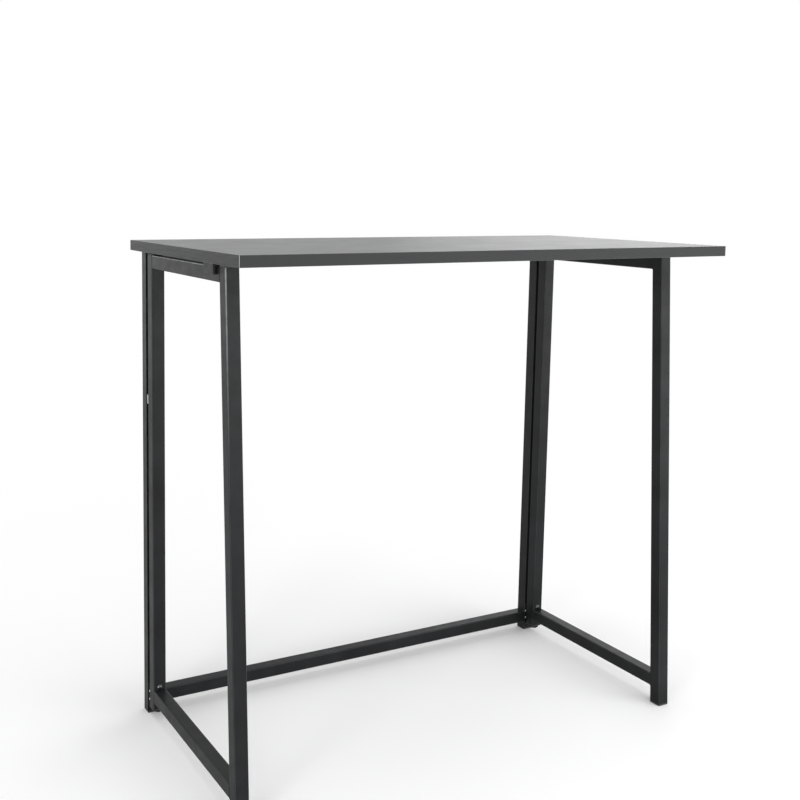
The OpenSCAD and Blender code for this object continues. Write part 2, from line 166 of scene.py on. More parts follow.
class ShaderGraph(NodeGraph):
    """A material under construction, with short calls for the nodes that the finishes use.

    The ranges are parts of a normal along an axis or a way, between which a mask changes.
    """

    ROUNDED_TO_FLAT: Range = (0.75, 0.96)
    ASIDE_TO_FACING: Range = (0.78, 0.93)
    UPRIGHT_TO_LEVEL: Range = (0.15, 0.45)

    def __init__(self, title: str) -> None:
        """Start a material that holds one shader.

        Args:
            title: Name of the material.
        """
        self.material = bpy.data.materials.new(title)
        self.material.use_nodes = True
        super().__init__(self.material.node_tree)
        self.tree.nodes.clear()
        self.shader = self.add("ShaderNodeBsdfPrincipled")
        self.output = self.add("ShaderNodeOutputMaterial", {"Surface": self.shader.outputs["BSDF"]})
        self.where = self.add("ShaderNodeTexCoord")

    def noise(self, size: float, detail: float = 2.0, stretch: Point = (1, 1, 1)) -> NodeSocket:
        """Add a noise pattern fixed to the piece.

        Args:
            size: Rough size of a grain in metres.
            detail: Number of finer layers.
            stretch: How many times the grain is shortened along each axis.

        Returns:
            The pattern's value, from 0 to 1.
        """
        place = self.add("ShaderNodeMapping", {"Vector": self.where.outputs["Object"], "Scale": stretch})
        inputs = {"Vector": place.outputs["Vector"], "Scale": 1 / size, "Detail": detail, "Roughness": 0.55}
        return self.add("ShaderNodeTexNoise", inputs).outputs[0]

    def spread(self, value: NodeSocket, low: float, high: float, start: float = 0.3,
               end: float = 0.7) -> NodeSocket:
        """Spread a pattern over a range of values.

        Args:
            value: The pattern.
            low: Result at start.
            high: Result at end.
            start: Value of the pattern that gives low.
            end: Value of the pattern that gives high.

        Returns:
            The spread value.
        """
        inputs = {"Value": value, "From Min": start, "From Max": end, "To Min": low, "To Max": high}
        return self.add("ShaderNodeMapRange", inputs).outputs["Result"]

    def tint(self, share: NodeSocket, first: object, second: object) -> NodeSocket:
        """Mix two colours.

        Args:
            share: Share of the second colour.
            first: Colour or colour socket at share 0.
            second: Colour or colour socket at share 1.

        Returns:
            The mixed colour.
        """
        node = self.add("ShaderNodeMix", data_type="RGBA")
        sockets = {socket.identifier: socket for socket in node.inputs}
        self.give(sockets["Factor_Float"], share)
        for key, value in (("A_Color", first), ("B_Color", second)):
            self.give(sockets[key], value if isinstance(value, NodeSocket) else (*value, 1.0))
        return next(socket for socket in node.outputs if socket.identifier == "Result_Color")

    def clouds(self, pattern: NodeSocket, dark: Colour, pale: Colour) -> NodeSocket:
        """Mix two colours by a pattern over its usual range."""
        return self.tint(self.spread(pattern, 0.0, 1.0), dark, pale)

    def part(self, which: str, axis: int) -> NodeSocket:
        """Part along an axis, 0 for X to 2 for Z, of the Object place or the Normal."""
        return self.add("ShaderNodeSeparateXYZ", {0: self.where.outputs[which]}).outputs[axis]

    def corners(self) -> NodeSocket:
        """Add a mask of the rounded corners, which face along none of the piece's own axes.

        Returns:
            1 on the rounded corners and 0 on the flat faces.
        """
        sizes = [self.math("ABSOLUTE", self.part("Normal", axis)) for axis in range(3)]
        widest = self.math("MAXIMUM", self.math("MAXIMUM", sizes[0], sizes[1]), sizes[2])
        return self.spread(widest, 1.0, 0.0, *self.ROUNDED_TO_FLAT)

    def facing(self, direction: Point) -> NodeSocket:
        """Add a mask of the surface that faces one way, such as one rounded corner of a tube.

        Args:
            direction: The way, as seen by the piece.

        Returns:
            1 where the surface faces that way and 0 elsewhere.
        """
        inputs = {0: self.where.outputs["Normal"], 1: tuple(Vector(direction).normalized())}
        turned = self.add("ShaderNodeVectorMath", inputs, operation="DOT_PRODUCT")
        return self.spread(turned.outputs["Value"], 0.0, 1.0, *self.ASIDE_TO_FACING)

    def beyond(self, axis: int, start: float, end: float) -> NodeSocket:
        """Add a mask that grows along an axis, 0 for X to 2 for Z, between two places in metres."""
        return self.spread(self.part("Object", axis), 0.0, 1.0, start, end)

    def upright(self) -> NodeSocket:
        """Add a mask of the surfaces that stand upright."""
        return self.spread(self.math("ABSOLUTE", self.part("Normal", 2)), 1.0, 0.0, *self.UPRIGHT_TO_LEVEL)

    def both(self, first: NodeSocket, second: NodeSocket) -> NodeSocket:
        """Multiply two masks."""
        return self.math("MULTIPLY", first, second)

    def relief(self, *layers: tuple[NodeSocket, float]) -> None:
        """Raise the surface by patterns, one on the other.

        Args:
            *layers: Each pattern with its height in metres.
        """
        inputs = {"Strength": 1.0}
        for pattern, height in layers:
            bump = self.add("ShaderNodeBump", {**inputs, "Distance": height, "Height": pattern})
            inputs["Normal"] = bump.outputs["Normal"]
        self.give(self.shader.inputs["Normal"], inputs["Normal"])

    def surface(self, **sockets: object) -> None:
        """Set the shader's inputs, named with _ for each space."""
        for name, value in sockets.items():
            self.give(self.shader.inputs[name.replace("_", " ")], value)


@dataclass(frozen=True)
class Finish:
    """A surface finish, made once as a material."""

    title: str
    slot: str

    @cached_property
    def material(self) -> Material:
        """The finish as a material, made when it is first asked for.

        Returns:
            The material.
        """
        graph = ShaderGraph(self.title)
        self.dress(graph)
        return graph.material

    def dress(self, graph: ShaderGraph) -> None:
        """Set the nodes of this finish."""
        raise NotImplementedError


@dataclass(frozen=True)
class PowderCoat(Finish):
    """Satin black powder coat with a fine orange peel, a little paler on the tube corners, partly from wear
    and partly as a painted highlight.

    One corner can carry painted shade or a painted highlight, in patches: marked_side says which way
    it faces, and the mark grows from mark_start to mark_end along mark_axis, slowly at first.
    """

    title: str = "satin_black_powder_coat"
    slot: str = "frame_paint"
    deep: Colour = (0.0062, 0.0065, 0.0070)
    light: Colour = (0.0125, 0.0130, 0.0140)
    cloud: float = 60 * MM
    # Colour of the paler corners: partly wear, partly a painted highlight.
    corner: Colour = (0.045, 0.0462, 0.049)
    rubbed: bool = True
    mark: Colour = (0.27, 0.275, 0.28)
    marked_side: Point | None = None
    mark_axis: int = 2
    mark_start: float = 0.40
    mark_end: float = 0.72
    mark_patch: float = 14 * MM
    mark_gloss: float = 0.12
    gloss: float = 0.12
    polish: Range = (0.37, 0.46)
    polish_patch: float = 25 * MM
    peel: float = 1.4 * MM
    peel_height: float = 0.018 * MM
    fine_peel: float = 0.35 * MM
    fine_height: float = 0.0045 * MM

    def dress(self, graph: ShaderGraph) -> None:
        """Set a mottled black, a satin gloss that varies and the peel.

        Args:
            graph: The material under construction.
        """
        cloud = graph.noise(self.cloud, detail=4.0)
        colour = graph.clouds(cloud, self.deep, self.light)
        # Paler rounded corners: partly wear, partly a painted highlight.
        if self.rubbed:
            wear_and_highlight = graph.both(graph.corners(), graph.spread(cloud, low=0.4, high=1.0))
            colour = graph.tint(wear_and_highlight, colour, self.corner)
        graph.surface(Specular_IOR_Level=self.gloss)
        # The mark paints shade or a highlight onto one corner, and can change its gloss there.
        if self.marked_side:
            share = self.marked(graph)
            colour = graph.tint(share, colour, self.mark)
            if self.mark_gloss != self.gloss:
                gloss = graph.spread(share, self.gloss, self.mark_gloss, start=0.0, end=1.0)
                graph.surface(Specular_IOR_Level=gloss)
        fine = graph.noise(self.fine_peel, detail=1.0)
        graph.relief((graph.noise(self.peel), self.peel_height), (fine, self.fine_height))
        graph.surface(
            Base_Color=colour,
            Roughness=graph.spread(graph.noise(self.polish_patch, detail=3.0), *self.polish),
        )

    def marked(self, graph: ShaderGraph) -> NodeSocket:
        """Add the mark's share, in patches on its corner.

        Args:
            graph: The material.

        Returns:
            The share, from 0 to 1.
        """
        reach = graph.beyond(self.mark_axis, self.mark_start, self.mark_end)
        share = graph.both(graph.facing(self.marked_side), graph.both(reach, reach))
        patches = graph.noise(self.mark_patch, detail=3.0)
        return graph.both(share, graph.spread(patches, low=0.7, high=1.0, start=0.36, end=0.58))


@dataclass(frozen=True)
class Laminate(Finish):
    """Dark grey satin board facing with a fine stipple."""

    title: str = "grey_board_facing"
    slot: str = "laminate_board"
    dark: Colour = (0.040, 0.041, 0.043)
    pale: Colour = (0.050, 0.0512, 0.0535)
    cloud: float = 90 * MM
    fleck: float = 1.6 * MM
    fleck_share: float = 0.35
    specular: float = 0.6
    polish: Range = (0.38, 0.42)
    polish_patch: float = 40 * MM
    stipple: float = 0.8 * MM
    stipple_height: float = 0.012 * MM

    def dress(self, graph: ShaderGraph) -> None:
        """Set a cloudy grey with fine flecks, a satin gloss and the stipple.

        Args:
            graph: The material under construction.
        """
        colour = graph.clouds(graph.noise(self.cloud, detail=5.0), self.dark, self.pale)
        fleck = graph.noise(self.fleck, detail=3.0)
        share = graph.spread(fleck, low=0.0, high=self.fleck_share, start=0.45, end=0.75)
        graph.relief((graph.noise(self.stipple), self.stipple_height))
        graph.surface(
            Base_Color=graph.tint(share, colour, self.pale),
            Roughness=graph.spread(graph.noise(self.polish_patch, detail=4.0), *self.polish),
            Specular_IOR_Level=self.specular,
        )


@dataclass(frozen=True)
class EdgeBand(Finish):
    """Grey edge band with faint lines along it, paler where its edges are eased, partly from scraping and
    partly as a painted highlight.

    The desktop's upright corners get the hardest knocks and a painted highlight, and are the palest.
    """

    title: str = "grey_edge_band"
    slot: str = "edge_band"
    across: Point = (1, 1, 1)
    dark: Colour = (0.0145, 0.0149, 0.0157)
    pale: Colour = (0.0195, 0.0201, 0.0211)
    # Paler colours of the eased edges and upright corners: partly scraping and knocks, partly a painted
    # highlight.
    scraped: Colour = (0.20, 0.203, 0.208)
    knocked: Colour = (0.55, 0.555, 0.56)
    line: float = 30 * MM
    line_height: float = 0.02 * MM
    knock: float = 5 * MM
    grain: float = 0.5 * MM
    grain_height: float = 0.006 * MM
    polish: Range = (0.38, 0.5)
    specular: float = 0.15

    def dress(self, graph: ShaderGraph) -> None:
        """Set lengthwise lines, a satin gloss, the paler edges and the palest corners.

        Args:
            graph: The material under construction.
        """
        lines = graph.noise(self.line, detail=4.0, stretch=self.across)
        # Paler eased edges and palest upright corners: partly scraping and knocks, partly a painted
        # highlight.
        colour = graph.tint(graph.corners(), graph.clouds(lines, self.dark, self.pale), self.scraped)
        patches = graph.spread(graph.noise(self.knock, detail=3.0), low=0.5, high=1.0, start=0.36, end=0.56)
        knock = graph.both(graph.both(graph.corners(), graph.upright()), patches)
        graph.relief((lines, self.line_height), (graph.noise(self.grain), self.grain_height))
        graph.surface(
            Base_Color=graph.tint(knock, colour, self.knocked),
            Roughness=graph.spread(lines, *self.polish),
            Specular_IOR_Level=self.specular,
        )


@dataclass(frozen=True)
class Mottled(Finish):
    """What the plainer finishes share: two colours and two polishes in soft clouds, and a grain.

    Bare is the colour of the rounded corners, where they differ.
    """

    dark: Colour
    pale: Colour
    cloud: float
    grain: float
    grain_height: float
    polish: Range
    bare: Colour | None = None
    metallic: float = 0.0
    specular: float = 0.5

    def dress(self, graph: ShaderGraph) -> None:
        """Set the clouds, the grain and the corners.

        Args:
            graph: The material under construction.
        """
        cloud = graph.noise(self.cloud, detail=4.0)
        colour = graph.clouds(cloud, self.dark, self.pale)
        if self.bare:
            colour = graph.tint(graph.corners(), colour, self.bare)
        graph.relief((graph.noise(self.grain), self.grain_height))
        graph.surface(
            Base_Color=colour,
            Metallic=self.metallic,
            Roughness=graph.spread(cloud, *self.polish),
            Specular_IOR_Level=self.specular,
        )


@dataclass(frozen=True)
class MouldedPlastic(Mottled):
    """Matt black plastic from a spark-eroded mould, with duller patches."""

    title: str = "black_moulded_plastic"
    slot: str = "black_plastic"
    dark: Colour = (0.013, 0.013, 0.014)
    pale: Colour = (0.022, 0.022, 0.024)
    cloud: float = 12 * MM
    grain: float = 0.3 * MM
    grain_height: float = 0.02 * MM
    polish: Range = (0.5, 0.64)
    specular: float = 0.4


@dataclass(frozen=True)
class BlackOxide(Mottled):
    """Blackened steel of the hinges, pins and screws, worn towards bare steel on the edges."""

    title: str = "blackened_steel"
    slot: str = "black_fastener"
    dark: Colour = (0.018, 0.018, 0.02)
    pale: Colour = (0.045, 0.045, 0.048)
    cloud: float = 8 * MM
    grain: float = 0.6 * MM
    grain_height: float = 0.008 * MM
    polish: Range = (0.34, 0.5)
    bare: Colour | None = (0.12, 0.12, 0.125)
    metallic: float = 0.4


@dataclass(frozen=True)
class Rubber(Mottled):
    """Light grey rubber of the stop pads, dusty and dull."""

    title: str = "grey_rubber"
    slot: str = "stop_pad"
    dark: Colour = (0.28, 0.28, 0.27)
    pale: Colour = (0.36, 0.36, 0.35)
    cloud: float = 3 * MM
    grain: float = 0.4 * MM
    grain_height: float = 0.02 * MM
    polish: Range = (0.7, 0.85)
    specular: float = 0.3


@dataclass(frozen=True)
class ZincPlate(Finish):
    """Bright zinc plate with a faint warm and cool cast."""

    title: str = "bright_zinc_plate"
    slot: str = "zinc_fastener"
    cool: Colour = (0.68, 0.71, 0.75)
    warm: Colour = (0.77, 0.75, 0.70)
    cast: float = 4 * MM
    scratch: float = 1.2 * MM
    scratch_height: float = 0.006 * MM
    polish: Range = (0.2, 0.36)

    def dress(self, graph: ShaderGraph) -> None:
        """Set the cast, fine scratches and a gloss that varies.

        Args:
            graph: The material under construction.
        """
        scratch = graph.noise(self.scratch, detail=3.0, stretch=(1, 8, 8))
        graph.relief((scratch, self.scratch_height))
        graph.surface(
            Base_Color=graph.clouds(graph.noise(self.cast, detail=3.0), self.cool, self.warm),
            Metallic=1.0,
            Roughness=graph.spread(scratch, *self.polish),
        )


@dataclass(frozen=True)
class Finishes:
    """Every finish on the desk."""

    tube: PowderCoat = PowderCoat()
    weld: PowderCoat = PowderCoat(title="powder_coat_on_welds", rubbed=False, peel=0.9 * MM)
    facing: Laminate = Laminate()
    long_band: EdgeBand = EdgeBand(title="grey_edge_band_along_x", across=(1, 20, 20))
    end_band: EdgeBand = EdgeBand(title="grey_edge_band_along_y", across=(20, 1, 20))
    plastic: MouldedPlastic = MouldedPlastic()
    zinc: ZincPlate = ZincPlate()
    black: BlackOxide = BlackOxide()
    button: BlackOxide = BlackOxide(
        title="glossy_black_screw", dark=(0.03, 0.03, 0.032), pale=(0.06, 0.06, 0.063), metallic=0.9,
        polish=(0.12, 0.2),
    )
    rubber: Rubber = Rubber()


def sharpened(mesh: Mesh, angle: float = 38.0) -> Mesh:
    """Shade a mesh smooth, apart from edges that turn by more than an angle.

    Args:
        mesh: The mesh to shade.
        angle: The angle in degrees.

    Returns:
        The same mesh.
    """
    mesh.shade_smooth()
    mesh.set_sharp_from_angle(angle=math.radians(angle))
    return mesh


def add_object(name: str, mesh: Mesh) -> Object:
    """Add a mesh to the scene.

    Args:
        name: Name of the new object.
        mesh: Its mesh.

    Returns:
        The object, at the origin.
    """
    thing = bpy.data.objects.new(name, mesh)
    bpy.context.scene.collection.objects.link(thing)
    return thing


def frozen(thing: Object) -> Object:
    """Turn an object's evaluated shape into its plain mesh and take its modifiers off.

    Args:
        thing: The object with its modifiers.

    Returns:
        The same object.
    """
    scene = bpy.context.evaluated_depsgraph_get()
    shape = thing.evaluated_get(scene)
    mesh = bpy.data.meshes.new_from_object(shape, preserve_all_data_layers=True, depsgraph=scene)
    thing.modifiers.clear()
    thing.data = mesh
    mesh.name = thing.name
    return thing


def merged(mesh: Mesh) -> BMesh:
    """Open a mesh for work, with the points that lie in one place merged.

    Args:
        mesh: The mesh.

    Returns:
        Its working copy, which is freed after use.
    """
    shape = bmesh.new()
    shape.from_mesh(mesh)
    bmesh.ops.remove_doubles(shape, verts=shape.verts, dist=SAME_PLACE)
    return shape


def any_edge(middle: Vector, bend: float) -> bool:
    """Choose every edge that turns."""
    return True


@dataclass(frozen=True)
class Easing:
    """How a piece's edges are rounded. Test takes an edge's middle and its bend, negative if hollow."""

    width: float
    test: Callable[[Vector, float], bool] = any_edge
    steps: int = 3
    least_bend: float = math.radians(40)

    def takes(self, edge: BMEdge) -> bool:
        """Say whether an edge is rounded.

        Args:
            edge: The edge.

        Returns:
            Whether it turns enough and passes the test.
        """
        bend = edge.calc_face_angle_signed(0.0)
        middle = (edge.verts[0].co + edge.verts[1].co) / 2
        return abs(bend) > self.least_bend and self.test(middle, bend)


def eased(name: str, node: Object, easings: tuple[Easing, ...], flat: float = math.radians(0.5)) -> Object:
    """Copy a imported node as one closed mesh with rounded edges.

    Args:
        name: Name of the copy.
        node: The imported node.
        easings: The roundings, made one after the other.
        flat: Angle between faces up to which they are joined to one.

    Returns:
        The copy, at the node's own place.
    """
    shape = merged(node.data)
    bmesh.ops.dissolve_limit(shape, angle_limit=flat, verts=shape.verts, edges=shape.edges)
    for easing in easings:
        bmesh.ops.bevel(
            shape, geom=[edge for edge in shape.edges if easing.takes(edge)], offset=easing.width,
            offset_type="OFFSET", segments=easing.steps, profile=0.5, affect="EDGES", clamp_overlap=True,
        )
    mesh = bpy.data.meshes.new(name)
    shape.to_mesh(mesh)
    shape.free()
    thing = add_object(name, sharpened(mesh))
    thing.modifiers.new("weighted", "WEIGHTED_NORMAL").keep_sharp = True
    return frozen(thing)


def solid_boxes(node: Object) -> list[Box]:
    """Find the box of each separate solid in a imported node.

    Args:
        node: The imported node.

    Returns:
        Lowest and highest corner of each solid.
    """
    shape = merged(node.data)
    boxes = []
    unseen = set(shape.verts)
    while unseen:
        front = [unseen.pop()]
        group = []
        while front:
            vert = front.pop()
            group.append(vert.co.copy())
            fresh = unseen.intersection(edge.other_vert(vert) for edge in vert.link_edges)
            unseen -= fresh
            front.extend(fresh)
        low = Vector(min(co[i] for co in group) for i in range(3))
        high = Vector(max(co[i] for co in group) for i in range(3))
        boxes.append((low, high))
    shape.free()
    return sorted(boxes, key=lambda box: tuple(round(v, 5) for v in box[0]))


def middle_at(box: Box, axis: int, level: float) -> Vector:
    """Find the middle of a box's cut.

    Args:
        box: The box.
        axis: Axis that the cut is square to, 0 for X to 2 for Z.
        level: Place of the cut along it.

    Returns:
        The middle.
    """
    place = (box[0] + box[1]) / 2
    place[axis] = level
    return place


class GeometryGraph(NodeGraph):
    """A Geometry Nodes tree under construction, from a geometry and named inputs to a geometry."""

    def __init__(self, title: str, inputs: dict[str, str]) -> None:
        """Start a tree.

        Args:
            title: Name of the tree.
            inputs: Socket type of each named input, such as Float.
        """
        super().__init__(bpy.data.node_groups.new(title, "GeometryNodeTree"))
        sockets = self.tree.interface
        for name, kind in {"Geometry": "Geometry", **inputs, "Material": "Material"}.items():
            sockets.new_socket(name, in_out="INPUT", socket_type=f"NodeSocket{kind}")
        sockets.new_socket("Geometry", in_out="OUTPUT", socket_type="NodeSocketGeometry")
        self.source = self.add("NodeGroupInput")
        self.result = self.add("NodeGroupOutput")

    def given(self, name: str) -> NodeSocket:
        """The tree's own input of that name."""
        return self.source.outputs[name]

    def choose(self, index: NodeSocket, options: tuple[object, ...]) -> NodeSocket:
        """Take one of several values.

        Args:
            index: Number of the value to take.
            options: Numbers or sockets to take from.

        Returns:
            The value taken.
        """
        node = self.add("GeometryNodeIndexSwitch", data_type="FLOAT")
        while len(node.index_switch_items) < len(options):
            node.index_switch_items.new()
        for number, value in enumerate((index, *options)):
            self.give(node.inputs[number], value)
        return node.outputs[0]

    def close(self, geometry: NodeSocket) -> None:
        """End the tree with its instances made real and its material set.

        Args:
            geometry: The finished geometry.
        """
        real = self.add("GeometryNodeRealizeInstances", {0: geometry}).outputs[0]
        dressed = self.add("GeometryNodeSetMaterial", {0: real, "Material": self.given("Material")})
        self.give(self.result.inputs[0], dressed.outputs[0])

    def grow(self, name: str, seed: Mesh, finish: Finish, **values: object) -> Object:
        """Run the tree on a mesh and keep the result as a plain mesh.

        Args:
            name: Name of the new piece.
            seed: Points or edges that the tree works on.
            finish: Finish of the piece.
            **values: Value of each named input, with _ for a space in its name.

        Returns:
            The new piece.
        """
        thing = add_object(name, seed)
        modifier = thing.modifiers.new(self.tree.name, "NODES")
        modifier.node_group = self.tree
        wanted = {key.replace("_", " "): value for key, value in values.items()}
        wanted["Material"] = finish.material
        for item in self.tree.interface.items_tree:
            if item.in_out == "INPUT" and item.name in wanted:
                modifier[item.identifier] = wanted[item.name]
        shape = merged(frozen(thing).data)
        bmesh.ops.recalc_face_normals(shape, faces=shape.faces)
        shape.to_mesh(thing.data)
        shape.free()
        sharpened(thing.data)
        return thing


class FastenerTree(GeometryGraph):
    """Turns each point into a screw or rivet whose head looks along the point's axis.

    A fastener is a grid whose long way runs round its axis and whose short way runs from the
    middle of the drive, over the head and down the shank to the tip. The dome's steps are shares
    of the way from the drive to the head's rim, and the draft is the drive's width at its floor
    as a share of its mouth. The least slope keeps the sum for a cross's arms from dividing by 0.
    """

    SIZES = (
        "Head Radius", "Head Rise", "Drive Reach", "Drive Arm", "Drive Sides", "Drive Depth",
        "Cone Depth", "Shank Radius", "Grip", "Tail Radius", "End Radius", "Length",
    )
    FACETS = 48
    DOME_STEPS = (0.08, 0.3, 0.55, 0.78, 0.93, 1.0)
    DRIVE_DRAFT = 0.94
    LEAST_SLOPE = 0.001

    def __init__(self) -> None:
        """Build the tree."""
        super().__init__("fasteners", {**dict.fromkeys(self.SIZES, "Float"), "Turn Seed": "Int"})
        radii, heights = zip(*self.rings())
        count = len(radii)
        counts = {"Size X": 1.0, "Size Y": 1.0, "Vertices X": self.FACETS + 1, "Vertices Y": count}
        grid = self.add("GeometryNodeMeshGrid", counts)
        radius = self.choose(self.station(count), radii)
        x, y = (self.math("MULTIPLY", radius, self.math(wave, self.angle())) for wave in ("COSINE", "SINE"))
        place = self.add("ShaderNodeCombineXYZ", {0: x, 1: y, 2: self.choose(self.station(count), heights)})
        turned = self.add("GeometryNodeSetPosition", {0: grid.outputs[0], "Position": place.outputs[0]})
        closed = self.add("GeometryNodeMergeByDistance", {0: turned.outputs[0], "Distance": 2 * SAME_PLACE})
        self.close(self.set_on_points(closed.outputs[0]))

    def corner(self, axis: int) -> NodeSocket:
        """Place on the unit grid along an axis, from 0 to 1."""
        parts = self.add("ShaderNodeSeparateXYZ", {0: self.add("GeometryNodeInputPosition").outputs[0]})
        return self.math("ADD", parts.outputs[axis], 0.5)

    def angle(self) -> NodeSocket:
        """Angle round the fastener's axis."""
        return self.math("MULTIPLY", self.corner(0), 2 * math.pi)

    def station(self, count: int) -> NodeSocket:
        """Number of the ring that a point lies on, of so many rings."""
        return self.math("ROUND", self.math("MULTIPLY", self.corner(1), count - 1.0))

    def drive_radius(self) -> NodeSocket:
        """Radius of the drive's outline: a polygon's flat side, or an arm of a cross.

        Returns:
            The radius at a point's angle.
        """
        step = self.math("DIVIDE", 2 * math.pi, self.given("Drive Sides"))
        half = self.math("DIVIDE", step, 2.0)
        fold = self.math("FLOORED_MODULO", self.math("ADD", self.angle(), half), step)
        turn = self.math("SUBTRACT", fold, half)
        side = self.math("DIVIDE", self.given("Drive Reach"), self.math("COSINE", turn))
        slope = self.math("MAXIMUM", self.math("ABSOLUTE", self.math("SINE", turn)), self.LEAST_SLOPE)
        return self.math("MINIMUM", side, self.math("DIVIDE", self.given("Drive Arm"), slope))

    def dome(self, radius: NodeSocket) -> NodeSocket:
        """Height of the head's dome at a radius."""
        fall = self.math("POWER", self.math("DIVIDE", radius, self.given("Head Radius")), 2.0)
        return self.math("MULTIPLY", self.given("Head Rise"), self.math("SUBTRACT", 1.0, fall))

    def rings(self) -> list[tuple[object, object]]:
        """Radius and height of each ring, from the drive's middle to the tip.

        Returns:
            The rings, as numbers or sockets.
        """
        drive = self.drive_radius()
        floor = self.math("SUBTRACT", self.given("Head Rise"), self.given("Drive Depth"))
        root = self.math("MULTIPLY", drive, self.DRIVE_DRAFT)
        rings = [(0.0, floor), (root, floor), (drive, self.dome(drive))]
        spare = self.math("SUBTRACT", self.given("Head Radius"), drive)
        for share in self.DOME_STEPS:
            radius = self.math("ADD", drive, self.math("MULTIPLY", spare, share))
            rings.append((radius, self.dome(radius)))
        depths = ("Cone Depth", "Grip", "Length")
        cone, grip, end = (self.math("MULTIPLY", self.given(name), -1.0) for name in depths)
        shank = self.given("Shank Radius")
        rings += [(shank, cone), (shank, grip), (self.given("Tail Radius"), grip)]
        return [*rings, (self.given("End Radius"), end), (0.0, end)]

    def set_on_points(self, fastener: NodeSocket) -> NodeSocket:
        """Put a fastener on each point, turned by chance round the point's axis.

        Args:
            fastener: The fastener's geometry.

        Returns:
            The instances.
        """
        axis = self.add("GeometryNodeInputNamedAttribute", {"Name": "axis"}, data_type="FLOAT_VECTOR")
        aim = self.add("FunctionNodeAlignRotationToVector", {"Vector": axis.outputs[0]}, axis="Z")
        chance = self.add("FunctionNodeRandomValue", {"Seed": self.given("Turn Seed")}, data_type="FLOAT")
        turn = self.math("MULTIPLY", chance.outputs[1], 2 * math.pi)
        about = self.add("FunctionNodeAxisAngleToRotation", {"Axis": (0.0, 0.0, 1.0), "Angle": turn})
        turns = {0: aim.outputs[0], 1: about.outputs[0]}
        both = self.add("FunctionNodeRotateRotation", turns, rotation_space="LOCAL")
        inputs = {"Points": self.given("Geometry"), "Instance": fastener, "Rotation": both.outputs[0]}
        return self.add("GeometryNodeInstanceOnPoints", inputs).outputs[0]


@dataclass(frozen=True)
class Fastener:
    """One kind of screw or rivet. Lengths run from the seat under its head, in metres."""

    head_radius: float
    head_rise: float
    drive: Drive
    drive_reach: float
    drive_depth: float
    shank_radius: float
    length: float
    drive_arm: float = 1.0
    cone_depth: float = 0.0
    tip: float = 0.0
    tail_radius: float = 0.0

    def values(self) -> dict[str, float]:
        """Values of the tree's inputs for this kind.

        Returns:
            The values by input name.
        """
        return {
            "Head_Radius": self.head_radius,
            "Head_Rise": self.head_rise,
            "Drive_Reach": self.drive_reach,
            "Drive_Arm": self.drive_arm,
            "Drive_Sides": float(self.drive.value),
            "Drive_Depth": self.drive_depth,
            "Cone_Depth": self.cone_depth,
            "Shank_Radius": self.shank_radius,
            "Grip": self.length - self.tip,
            "Tail_Radius": self.tail_radius or self.shank_radius,
            "End_Radius": self.tail_radius or (self.shank_radius / 3 if self.tip else self.shank_radius),
            "Length": self.length,
        }


def point_mesh(name: str, places: list[Vector], axis: Vector) -> Mesh:
    """Make the points that carry fasteners.

    Args:
        name: Name of the mesh.
        places: Middle of each head's seat.
        axis: Direction that the heads look in.

    Returns:
        A mesh of loose points with the axis on each.
    """
    mesh = bpy.data.meshes.new(name)
    mesh.from_pydata([tuple(place) for place in places], [], [])
    for item in mesh.attributes.new("axis", "FLOAT_VECTOR", "POINT").data:
        item.vector = axis
    return mesh


class WeldTree(GeometryGraph):
    """Lays a rippled bead of weld along each seam. Sway is how much its radius wanders, as a share."""

    SIZES = ("Bead Radius", "Ripple Pitch", "Ripple Depth", "Step", "Seed")
    SIDES = 10
    SWAY = 0.6
    SWAY_SCALE = 0.15 / MM

    def __init__(self) -> None:
        """Build the tree."""
        super().__init__("weld_beads", dict.fromkeys(self.SIZES, "Float"))
        curve = self.add("GeometryNodeMeshToCurve", {0: self.given("Geometry")}).outputs[0]
        inputs = {0: curve, "Length": self.given("Step")}
        even = self.add("GeometryNodeResampleCurve", inputs, mode="LENGTH").outputs[0]
        run = self.add("GeometryNodeSplineParameter").outputs["Length"]
        phase = self.math("MULTIPLY", self.math("DIVIDE", run, self.given("Ripple Pitch")), 2 * math.pi)
        ripple = self.math("MULTIPLY", self.math("SINE", phase), self.given("Ripple Depth"))
        inputs = {"W": self.given("Seed"), "Scale": self.SWAY_SCALE, "Detail": 2.0}
        uneven = self.add("ShaderNodeTexNoise", inputs, noise_dimensions="4D").outputs[0]
        sway = self.math("MULTIPLY", self.math("SUBTRACT", uneven, 0.5), self.SWAY)
        width = self.math("ADD", 1.0, self.math("ADD", ripple, sway))
        radius = self.add("GeometryNodeSetCurveRadius", {0: even, "Radius": width}).outputs[0]
        inputs = {"Resolution": self.SIDES, "Radius": self.given("Bead Radius")}
        ring = self.add("GeometryNodeCurvePrimitiveCircle", inputs).outputs[0]
        inputs = {"Curve": radius, "Profile Curve": ring, "Fill Caps": True}
        self.close(self.add("GeometryNodeCurveToMesh", inputs).outputs[0])


@dataclass(frozen=True)
class Seam:
    """A seam round the end of a rail, on the plane where it meets a post or leg.

    Middle is the rail's axis on that plane. Up lies in the plane and points up the face, and
    the insets say how far inside the rail's faces the bead's centre runs.
    """

    middle: Vector
    across: Vector
    up: Vector
    half: float
    side_inset: float
    top_inset: float
    bottom_inset: float
    corner: float = 1.6 * MM
    corner_steps: int = 4

    def loop(self) -> list[Vector]:
        """Points of the seam, round its four corners.

        Returns:
            The points in order, without a repeat at the end.
        """
        wide = self.half - self.side_inset
        high = self.half - self.top_inset
        low = self.bottom_inset - self.half
        centres = ((wide, high, 0), (-wide, high, 90), (-wide, low, 180), (wide, low, 270))
        points = []
        for x, z, start in centres:
            x -= math.copysign(self.corner, x)
            z -= math.copysign(self.corner, z - (high + low) / 2)
            for step in range(self.corner_steps + 1):
                angle = math.radians(start + 90 * step / self.corner_steps)
                out = x + self.corner * math.cos(angle)
                rise = z + self.corner * math.sin(angle)
                points.append(self.middle + self.across * out + self.up * rise)
        return points


